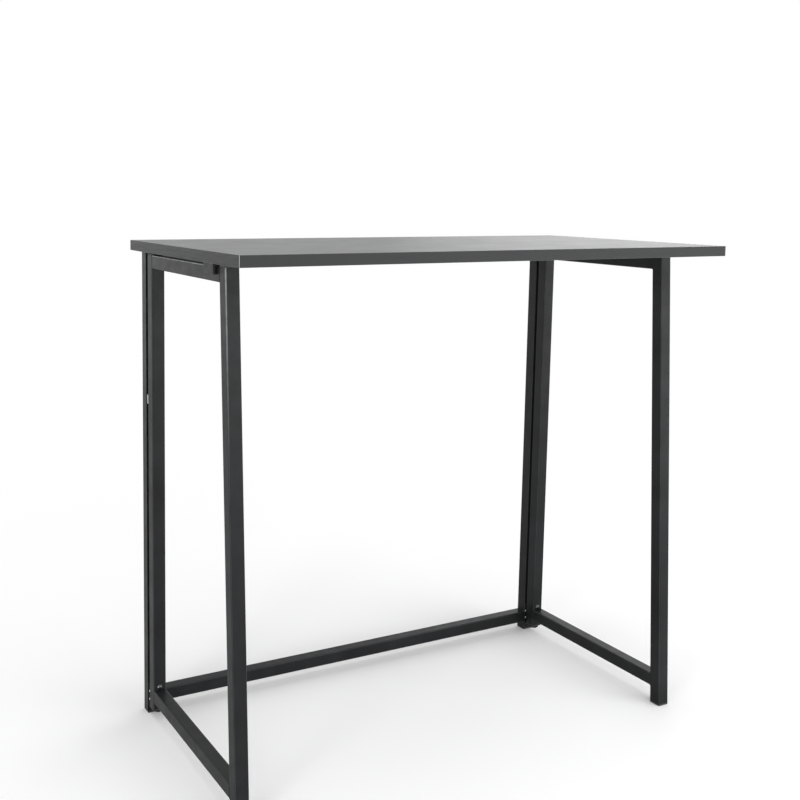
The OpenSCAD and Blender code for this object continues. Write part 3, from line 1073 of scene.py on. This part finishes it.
def seam_mesh(name: str, seams: list[Seam]) -> Mesh:
    """Make the closed polylines that welds follow.

    Args:
        name: Name of the mesh.
        seams: The seams.

    Returns:
        A mesh of edges.
    """
    points = []
    edges = []
    for seam in seams:
        loop = seam.loop()
        first = len(points)
        points.extend(tuple(point) for point in loop)
        edges.extend((first + i, first + (i + 1) % len(loop)) for i in range(len(loop)))
    mesh = bpy.data.meshes.new(name)
    mesh.from_pydata(points, edges, [])
    return mesh


@dataclass
class Workshop:
    """What every sub-assembly is made with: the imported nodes, the finishes and the two node trees."""

    nodes: dict[str, Object]
    finishes: Finishes = field(default_factory=Finishes)
    fasteners: FastenerTree = field(default_factory=FastenerTree)
    welds: WeldTree = field(default_factory=WeldTree)


@dataclass
class SubAssembly:
    """What the desk's sub-assemblies share.

    The ripple's depth is a share of the bead's radius. Screw sizes are those of the countersunk
    cross-head screws in hinges and clips.
    """

    shop: Workshop
    body: str
    edge: float = 0.35 * MM
    foot_edge: float = 0.6 * MM
    leaf_edge: float = 0.2 * MM
    bead: float = 1.3 * MM
    corner_inset: float = 0.1 * MM
    ripple_pitch: float = 1.5 * MM
    ripple_depth: float = 0.12
    ripple_steps: int = 4
    weld_seed: float = 1.0
    screw_reach: float = 1.7 * MM
    screw_arm: float = 0.45 * MM
    screw_depth: float = 1.1 * MM
    screw_shank: float = 1.7 * MM
    screw_tip: float = 1.5 * MM
    hinge_cone: float = 1.5 * MM

    def coat(self, finish: Finish, *names: str) -> None:
        """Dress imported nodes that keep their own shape.

        Args:
            finish: Their finish.
            *names: The nodes.
        """
        for name in names:
            for slot in self.shop.nodes[name].material_slots:
                slot.material = finish.material
            LOG.info("%s: %s in %s", self.body, name, finish.title)

    def seat(self, piece: Object, finish: Finish, *replaced: str) -> Object:
        """Make a new piece ride on this sub-assembly's body.

        Args:
            piece: The new piece.
            finish: Its finish.
            *replaced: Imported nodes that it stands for.

        Returns:
            The piece.
        """
        piece.data.materials.clear()
        piece.data.materials.append(finish.material)
        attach(piece, self.body)
        if replaced:
            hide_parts(*replaced)
        faces = len(piece.data.polygons)
        LOG.info("%s: %s with %d faces in %s", self.body, piece.name, faces, finish.title)
        return piece

    def ease(self, node: str, finish: Finish, *easings: Easing) -> Object:
        """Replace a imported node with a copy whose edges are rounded.

        Args:
            node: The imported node.
            finish: Finish of the copy.
            *easings: Its roundings, or none for this sub-assembly's usual edge.

        Returns:
            The copy.
        """
        copy = eased(f"{node}_eased", self.shop.nodes[node], easings or (Easing(self.edge),))
        return self.seat(copy, finish, node)

    def fasten(self, node: str, finish: Finish, kind: Fastener, places: list[Vector], axis: Vector,
               turn_seed: int) -> Object:
        """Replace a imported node's plain fasteners.

        Args:
            node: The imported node.
            finish: Finish of the fasteners.
            kind: Their shape.
            places: Middle of each head's seat.
            axis: Direction that the heads look in.
            turn_seed: Seed of their turns.

        Returns:
            The new piece.
        """
        seed = point_mesh(f"{node}_points", places, axis)
        name = f"{node}_turned"
        piece = self.shop.fasteners.grow(name, seed, finish, Turn_Seed=turn_seed, **kind.values())
        return self.seat(piece, finish, node)

    def screw(self, node: str, heads: Heads, cone_depth: float, turn_seed: int) -> None:
        """Replace packed countersunk screws that stand upright.

        Args:
            node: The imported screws.
            heads: The way that their heads look.
            cone_depth: Height of their heads' cone.
            turn_seed: Seed of their turns.
        """
        boxes = solid_boxes(self.shop.nodes[node])
        low, high = boxes[0]
        kind = Fastener(
            head_radius=(high.x - low.x) / 2, head_rise=0.0, drive=Drive.CROSS,
            drive_reach=self.screw_reach, drive_depth=self.screw_depth, shank_radius=self.screw_shank,
            length=high.z - low.z, drive_arm=self.screw_arm, cone_depth=cone_depth, tip=self.screw_tip,
        )
        places = [middle_at(box, 2, (box[1] if heads is Heads.UP else box[0]).z) for box in boxes]
        self.fasten(node, self.shop.finishes.black, kind, places, Vector((0, 0, heads.value)), turn_seed)

    def weld(self, seams: list[Seam]) -> Object:
        """Lay this sub-assembly's welds.

        Args:
            seams: The seams.

        Returns:
            The beads as one piece.
        """
        name = f"welds_{self.body}"
        finish = self.shop.finishes.weld
        piece = self.shop.welds.grow(
            name, seam_mesh(f"{name}_seams", seams), finish,
            Bead_Radius=self.bead, Ripple_Pitch=self.ripple_pitch, Ripple_Depth=self.ripple_depth,
            Step=self.ripple_pitch / self.ripple_steps, Seed=self.weld_seed,
        )
        return self.seat(piece, finish)


@dataclass
class RearFrame(SubAssembly):
    """Back posts and rails, their feet, the pivots of the side frames and the fixed hinge leaves."""

    bend_outside: float = 2.2 * MM
    bend_inside: float = 0.7 * MM
    bend_reach: float = 0.1 * MM
    bend_steps: int = 5
    sheet_edge: float = 0.25 * MM
    washer_edge: float = 0.15 * MM
    flush_inset: float = 1.35 * MM
    # Colour of the painted shade on the back post's corner in the gap.
    dirt: Colour = (0.003, 0.003, 0.003)
    rivet_reach: float = 0.8 * MM
    rivet_depth: float = 0.5 * MM
    rivet_shank: float = 1.6 * MM
    rivet_tail: float = 2.2 * MM
    rivet_upset: float = 2.5 * MM
    rivet_seed: int = 3
    screw_seed: int = 5

    def build(self) -> None:
        """Dress the rear frame."""
        looks = self.shop.finishes
        self.coat(looks.tube, "back_top_rail", "back_bottom_rail")
        self.weld(self.seams())
        for side in Side:
            self.coat(self.dirty_coat(side), side.node("back_post"))
            self.ease(side.node("back_foot"), looks.plastic, Easing(self.foot_edge))
            self.ease(side.node("pivot_plate"), looks.tube)
            self.ease(side.node("pivot_bracket"), looks.tube, *self.bracket_easings(side))
            self.ease(side.node("lower_pivot_bolt"), looks.black)
            self.ease(side.node("rail_hinge_leaf"), looks.black, Easing(self.leaf_edge))
            self.coat(looks.black, side.node("upper_pivot_pin"))
            self.coat(looks.zinc, side.node("hinge_pin"))
        self.ease("pivot_washers", looks.plastic, Easing(self.washer_edge))
        self.rivet_brackets()
        self.screw("rail_hinge_screws", Heads.UP, self.hinge_cone, self.screw_seed)

    def dirty_coat(self, side: Side) -> PowderCoat:
        """Coat of a back post, whose outer front corner in the gap before it is darkened by painted shade
        and loses its gloss.

        Args:
            side: The post's side.

        Returns:
            The coat.
        """
        foot_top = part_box(side.node("back_post"))[0].z
        # Painted shade: the corner that faces the gap is darkened and its gloss is taken off.
        return PowderCoat(
            title=side.node("coat_dirty_in_gap"), mark=self.dirt, marked_side=(side.value, -1, 0),
            mark_start=foot_top - MM, mark_end=foot_top, mark_gloss=0.0,
        )

    def seams(self) -> list[Seam]:
        """Seams at both ends of both rails.

        Returns:
            The seams.
        """
        insets = (self.flush_inset, self.corner_inset, self.corner_inset)
        seams = []
        for rail in ("back_top_rail", "back_bottom_rail"):
            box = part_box(rail)
            half = (box[1].z - box[0].z) / 2
            seams += [Seam(middle_at(box, 0, end.x), BACKWARDS, UPWARDS, half, *insets) for end in box]
        return seams

    def bracket_easings(self, side: Side) -> tuple[Easing, ...]:
        """Roundings of a bent bracket: outside the bend, inside the bend and on the sheet's edges.

        Args:
            side: The bracket's side.

        Returns:
            The roundings.
        """
        low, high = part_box(side.node("pivot_bracket"))
        sheet = self.bracket_sheet(side)

        def outside(middle: Vector, bend: float) -> bool:
            """Choose the outer edge of the bend."""
            return max(abs(middle.y - high.y), abs(middle.z - low.z)) < self.bend_reach

        def inside(middle: Vector, bend: float) -> bool:
            """Choose the hollow edge of the bend."""
            return max(abs(middle.y - high.y + sheet), abs(middle.z - low.z - sheet)) < self.bend_reach

        return (
            Easing(self.bend_outside, outside, self.bend_steps), Easing(self.bend_inside, inside),
            Easing(self.sheet_edge),
        )

    def bracket_sheet(self, side: Side) -> float:
        """Thickness of a bracket, between its underside and the washer on it."""
        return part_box("pivot_washers")[0].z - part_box(side.node("pivot_bracket"))[0].z

    def rivet_brackets(self) -> None:
        """Replace the rivets through the brackets' flanges."""
        boxes = solid_boxes(self.shop.nodes["bracket_rivets"])
        seat_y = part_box("back_post_left")[0].y - self.bracket_sheet(Side.LEFT)
        low, high = boxes[0]
        kind = Fastener(
            head_radius=(high.x - low.x) / 2, head_rise=seat_y - low.y, drive=Drive.ROUND,
            drive_reach=self.rivet_reach, drive_depth=self.rivet_depth, shank_radius=self.rivet_shank,
            length=high.y - seat_y, tip=self.rivet_upset, tail_radius=self.rivet_tail,
        )
        places = [middle_at(box, 1, seat_y) for box in boxes]
        self.fasten("bracket_rivets", self.shop.finishes.zinc, kind, places, FORWARDS, self.rivet_seed)


@dataclass
class SideFrame(SubAssembly):
    """A rear post, a leaning front leg and two rails, with the post's inserts, a cap and a foot."""

    side: Side = Side.LEFT
    pad_edge: float = 0.8 * MM
    flush_inset: float = 1.05 * MM
    buried_inset: float = 2.2 * MM
    # Colour of the painted highlight on the front leg's outer front corner.
    leg_wear: Colour = (0.27, 0.275, 0.28)
    # Colour of the painted highlight on the top rail's outer upper corner, fading in behind the clip.
    rail_wear: Colour = (0.42, 0.425, 0.43)
    wear_fade: float = 4 * MM
    lean_tries: int = 8
    button_reach: float = 1.3 * MM
    button_depth: float = 1.3 * MM
    button_shank: float = 2.5 * MM
    button_seed: int = 7

    def build(self) -> None:
        """Dress one side frame."""
        looks = self.shop.finishes
        named = self.side.node
        self.coat(looks.tube, named("rear_post"), named("bottom_rail"))
        self.coat(self.worn_leg_coat(), named("front_leg"))
        self.coat(self.worn_rail_coat(), named("top_rail"))
        self.weld(self.seams())
        self.ease(named("front_foot"), looks.plastic, Easing(self.foot_edge))
        for stem in ("leg_cap", "upper_pivot_insert", "lower_pivot_insert"):
            self.ease(named(stem), looks.plastic)
        self.ease(named("stop_pad"), looks.rubber, Easing(self.pad_edge))
        self.screw_insert()

    def worn_leg_coat(self) -> PowderCoat:
        """Coat of the front leg, whose outer front corner has a painted highlight that grows towards the
        top.
        """
        corner = (self.side.value, -1, 0)
        return PowderCoat(title=self.side.node("coat_worn_on_leg"), mark=self.leg_wear, marked_side=corner)

    def worn_rail_coat(self) -> PowderCoat:
        """Coat of the top rail, whose outer upper corner has a painted highlight behind the clip.

        Returns:
            The coat.
        """
        clip_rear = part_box(self.side.node("clip"))[1].y
        # Painted highlight along the rail's outer upper corner.
        return PowderCoat(
            title=self.side.node("coat_worn_on_rail"), mark=self.rail_wear,
            marked_side=(self.side.value, 0, 1), mark_axis=1, mark_start=clip_rear,
            mark_end=clip_rear + self.wear_fade,
        )

    def lean(self) -> float:
        """Angle by which the front leg leans, from its box and the width of its tube.

        Returns:
            The angle in radians.
        """
        low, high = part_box(self.side.node("front_leg"))
        angle = 0.0
        for _ in range(self.lean_tries):
            run = (high.y - low.y) - (high.x - low.x) / math.cos(angle)
            angle = math.atan2(run, high.z - low.z)
        return angle

    def seams(self) -> list[Seam]:
        """Seams at both ends of both rails.

        Nothing shows on the top rail's top, which lies under the cap and the insert, nor under its
        front end, where the corner is filled. The insert's screw leaves no room above the bottom
        rail's rear end.

        Returns:
            The seams.
        """
        lean = self.lean()
        up_leg = Vector((0, math.sin(lean), math.cos(lean)))
        leg_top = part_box(self.side.node("front_leg"))[1]
        buried = self.buried_inset
        shown = self.corner_inset
        seams = []
        for rail, rear_insets, front_insets in (
            ("top_rail", (buried, shown), (buried, buried)),
            ("bottom_rail", (buried, shown), (shown, shown)),
        ):
            low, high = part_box(self.side.node(rail))
            half = (high.x - low.x) / 2
            x = (low.x + high.x) / 2
            z = high.z - half
            rear = Vector((x, high.y, z))
            front = Vector((x, leg_top.y - (leg_top.z - z) * math.tan(lean), z))
            seams.append(Seam(rear, RIGHTWARDS, UPWARDS, half, self.flush_inset, *rear_insets))
            seams.append(Seam(front, RIGHTWARDS, up_leg, half, self.flush_inset, *front_insets))
        return seams

    def screw_insert(self) -> None:
        """Replace the screw that holds the lower insert in the rear post."""
        node = self.side.node("insert_screw")
        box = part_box(node)
        low, high = box
        seat_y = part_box(self.side.node("rear_post"))[0].y
        kind = Fastener(
            head_radius=(high.x - low.x) / 2, head_rise=seat_y - low.y, drive=Drive.HEXAGON,
            drive_reach=self.button_reach, drive_depth=self.button_depth,
            shank_radius=self.button_shank, length=high.y - seat_y,
        )
        places = [middle_at(box, 1, seat_y)]
        seed = self.button_seed + self.side.value
        self.fasten(node, self.shop.finishes.button, kind, places, FORWARDS, seed)


@dataclass
class Desktop(SubAssembly):
    """The faced board with its edge bands, the moving hinge leaves and the clips on its underside."""

    band_edge: float = 0.4 * MM
    band_corner: float = 0.8 * MM
    band_corner_steps: int = 4
    near: float = 0.01 * MM
    clip_edge: float = 0.5 * MM
    clip_cone: float = 2 * MM
    hinge_screw_seed: int = 11
    clip_screw_seed: int = 13

    def build(self) -> None:
        """Dress the desktop."""
        looks = self.shop.finishes
        outline = Easing(self.band_edge, self.on_outline)
        corner = Easing(self.band_corner, self.on_upright_corner, self.band_corner_steps)
        self.coat(looks.facing, "desktop_board")
        for end in ("front", "back"):
            self.ease(f"edge_band_{end}", looks.long_band, outline)
        for side in Side:
            self.ease(side.node("edge_band"), looks.end_band, corner, outline)
            self.ease(side.node("clip"), looks.plastic, Easing(self.clip_edge))
            self.ease(side.node("board_hinge_leaf"), looks.black, Easing(self.leaf_edge))
        self.screw("board_hinge_screws", Heads.DOWN, self.hinge_cone, self.hinge_screw_seed)
        self.screw("clip_screws", Heads.DOWN, self.clip_cone, self.clip_screw_seed)

    def on_outline(self, middle: Vector, bend: float) -> bool:
        """Choose the edges on the desktop's outside.

        Args:
            middle: Middle of the edge.
            bend: Its bend, which doesn't matter here.

        Returns:
            Whether the edge is outside the board and the joints between the bands.
        """
        low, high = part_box("desktop_board")
        outside_x = abs(middle.x) > high.x + self.near
        outside_y = middle.y < low.y - self.near or middle.y > high.y + self.near
        at_joint = abs(abs(middle.x) - high.x) < self.near
        return (outside_x or outside_y) and not at_joint

    def on_upright_corner(self, middle: Vector, bend: float) -> bool:
        """Choose the upright edges at the desktop's four corners.

        Args:
            middle: Middle of the edge.
            bend: Its bend, which doesn't matter here.

        Returns:
            Whether the edge is one of them.
        """
        low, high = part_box("edge_band_left")
        at_middle = abs(middle.z - (low.z + high.z) / 2) < self.near
        at_end = min(abs(middle.y - low.y), abs(middle.y - high.y)) < self.near
        return at_middle and at_end and abs(middle.x) > abs(low.x) - self.near


@dataclass(frozen=True)
class PhotoCamera:
    """Camera at the photograph's viewing angle, with angles in degrees."""

    place: Point = (-0.9069, -1.3438, 0.8142)
    yaw: float = 27.46
    pitch: float = 6.40
    roll: float = 0.64
    lens: float = 48.23
    shift: tuple[float, float] = (0.12, -0.11)
    nearest: float = 0.05

    def build(self) -> None:
        """Add the camera and make it the scene's own."""
        data = bpy.data.cameras.new("camera")
        data.lens = self.lens
        data.shift_x, data.shift_y = self.shift
        data.clip_start = self.nearest
        camera = bpy.data.objects.new("camera", data)
        turn = Matrix.Rotation(math.radians(-self.yaw), 4, "Z")
        tilt = Matrix.Rotation(math.radians(90 - self.pitch), 4, "X")
        roll = Matrix.Rotation(math.radians(self.roll), 4, "Z")
        camera.matrix_world = Matrix.Translation(self.place) @ turn @ tilt @ roll
        bpy.context.scene.collection.objects.link(camera)
        bpy.context.scene.camera = camera


@dataclass(frozen=True)
class Lamp:
    """A soft lamp that is aimed at a point. Its level is its brightness against white."""

    name: str
    place: Point
    aim: Point
    width: float
    height: float
    level: float
    roll: float = 0.0

    def build(self) -> None:
        """Add the lamp."""
        data = bpy.data.lights.new(self.name, "AREA")
        data.shape = "RECTANGLE"
        data.size = self.width
        data.size_y = self.height
        data.energy = self.level * math.pi * self.width * self.height
        lamp = bpy.data.objects.new(self.name, data)
        lamp.location = self.place
        turn = (Vector(self.aim) - Vector(self.place)).to_track_quat("-Z", "Y").to_matrix()
        lamp.rotation_euler = (turn @ Matrix.Rotation(math.radians(self.roll), 3, "Z")).to_euler()
        bpy.context.scene.collection.objects.link(lamp)


@dataclass(frozen=True)
class Studio:
    """Pale floor that runs out into white surroundings, with large soft lamps."""

    floor_radius: float = 8.0
    floor_tone: float = 0.95
    plain_within: float = 0.7
    white_beyond: float = 1.7
    room_level: float = 0.8
    lamps: tuple[Lamp, ...] = (
        Lamp("top", (0.0, -0.3, 3.2), (0.0, 0.0, 0.0), 3.0, 3.0, 0.6),
        Lamp("front", (1.05, -2.3, 0.62), (0.0, 0.0, 0.57), 3.3, 1.1, 5.2),
        Lamp("left_strip", (-2.2, -1.3, 0.65), (-0.4, -0.1, 0.6), 0.5, 1.0, 9.2),
        Lamp("rear_right", (2.8, 2.0, 1.0), (0.2, 0.0, 0.7), 2.1, 2.1, 1.2, 45.0),
        Lamp("rear_left", (-1.5, 2.2, 0.6), (-0.4, 0.0, 0.6), 1.2, 0.8, 0.95),
    )

    def build(self) -> None:
        """Add the floor, the surroundings and the lamps."""
        bpy.context.scene.view_settings.view_transform = "Standard"
        self.lay_floor()
        self.light_room()
        for lamp in self.lamps:
            lamp.build()

    def seen_directly(self, graph: NodeGraph) -> NodeSocket:
        """Add a mask of the rays that show the background: the camera's, and those off or through gloss.

        Args:
            graph: Graph that gets the nodes.

        Returns:
            1 for such a ray and 0 for others.
        """
        path = graph.add("ShaderNodeLightPath").outputs
        either = graph.math("MAXIMUM", path["Is Camera Ray"], path["Is Glossy Ray"])
        return graph.math("MAXIMUM", either, path["Is Transmission Ray"])

    def light_room(self) -> None:
        """Make the surroundings white to look at and plain as a light."""
        world = bpy.data.worlds.new("room")
        world.use_nodes = True
        graph = NodeGraph(world.node_tree)
        graph.tree.nodes.clear()
        plain, white = (
            graph.add("ShaderNodeBackground", {"Color": (1, 1, 1, 1), "Strength": level}).outputs[0]
            for level in (self.room_level, 1.0)
        )
        graph.add("ShaderNodeOutputWorld", {"Surface": graph.mix(self.seen_directly(graph), plain, white)})
        bpy.context.scene.world = world

    def lay_floor(self) -> None:
        """Add the floor, which can be seen through from below."""
        shape = bmesh.new()
        bmesh.ops.create_circle(shape, cap_ends=True, radius=self.floor_radius, segments=96)
        mesh = bpy.data.meshes.new("floor")
        shape.to_mesh(mesh)
        shape.free()
        mesh.materials.append(self.floor_material())
        add_object("floor", mesh)

    def floor_material(self) -> Material:
        """Make the floor's paint, which runs out into white away from the desk.

        Returns:
            The material.
        """
        graph = ShaderGraph("pale_floor")
        graph.surface(Base_Color=(self.floor_tone,) * 3 + (1.0,), Roughness=0.9, Specular_IOR_Level=0.1)
        place = {0: graph.where.outputs["Object"]}
        away = graph.add("ShaderNodeVectorMath", place, operation="LENGTH").outputs["Value"]
        inputs = {"Value": away, "From Min": self.plain_within, "From Max": self.white_beyond}
        fade = graph.add("ShaderNodeMapRange", inputs, interpolation_type="SMOOTHSTEP").outputs[0]
        white = graph.add("ShaderNodeEmission", {"Strength": 1.0}).outputs[0]
        seen = graph.mix(graph.both(fade, self.seen_directly(graph)), graph.shader.outputs[0], white)
        below = graph.add("ShaderNodeNewGeometry").outputs["Backfacing"]
        clear = graph.add("ShaderNodeBsdfTransparent").outputs[0]
        graph.give(graph.output.inputs["Surface"], graph.mix(below, seen, clear))
        return graph.material


def main() -> None:
    """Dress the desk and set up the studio."""
    logging.basicConfig(level=logging.INFO, format="%(name)s: %(message)s")
    for thing in list(bpy.data.objects):
        bpy.data.objects.remove(thing)
    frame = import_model()
    shop = Workshop(frame["nodes"])
    RearFrame(shop, "back_frame", weld_seed=1.0).build()
    for side in Side:
        SideFrame(shop, side.body, weld_seed=3.0 + side.value, side=side).build()
    Desktop(shop, "desktop").build()
    Studio().build()
    PhotoCamera().build()


if __name__ == "__main__":
    main()
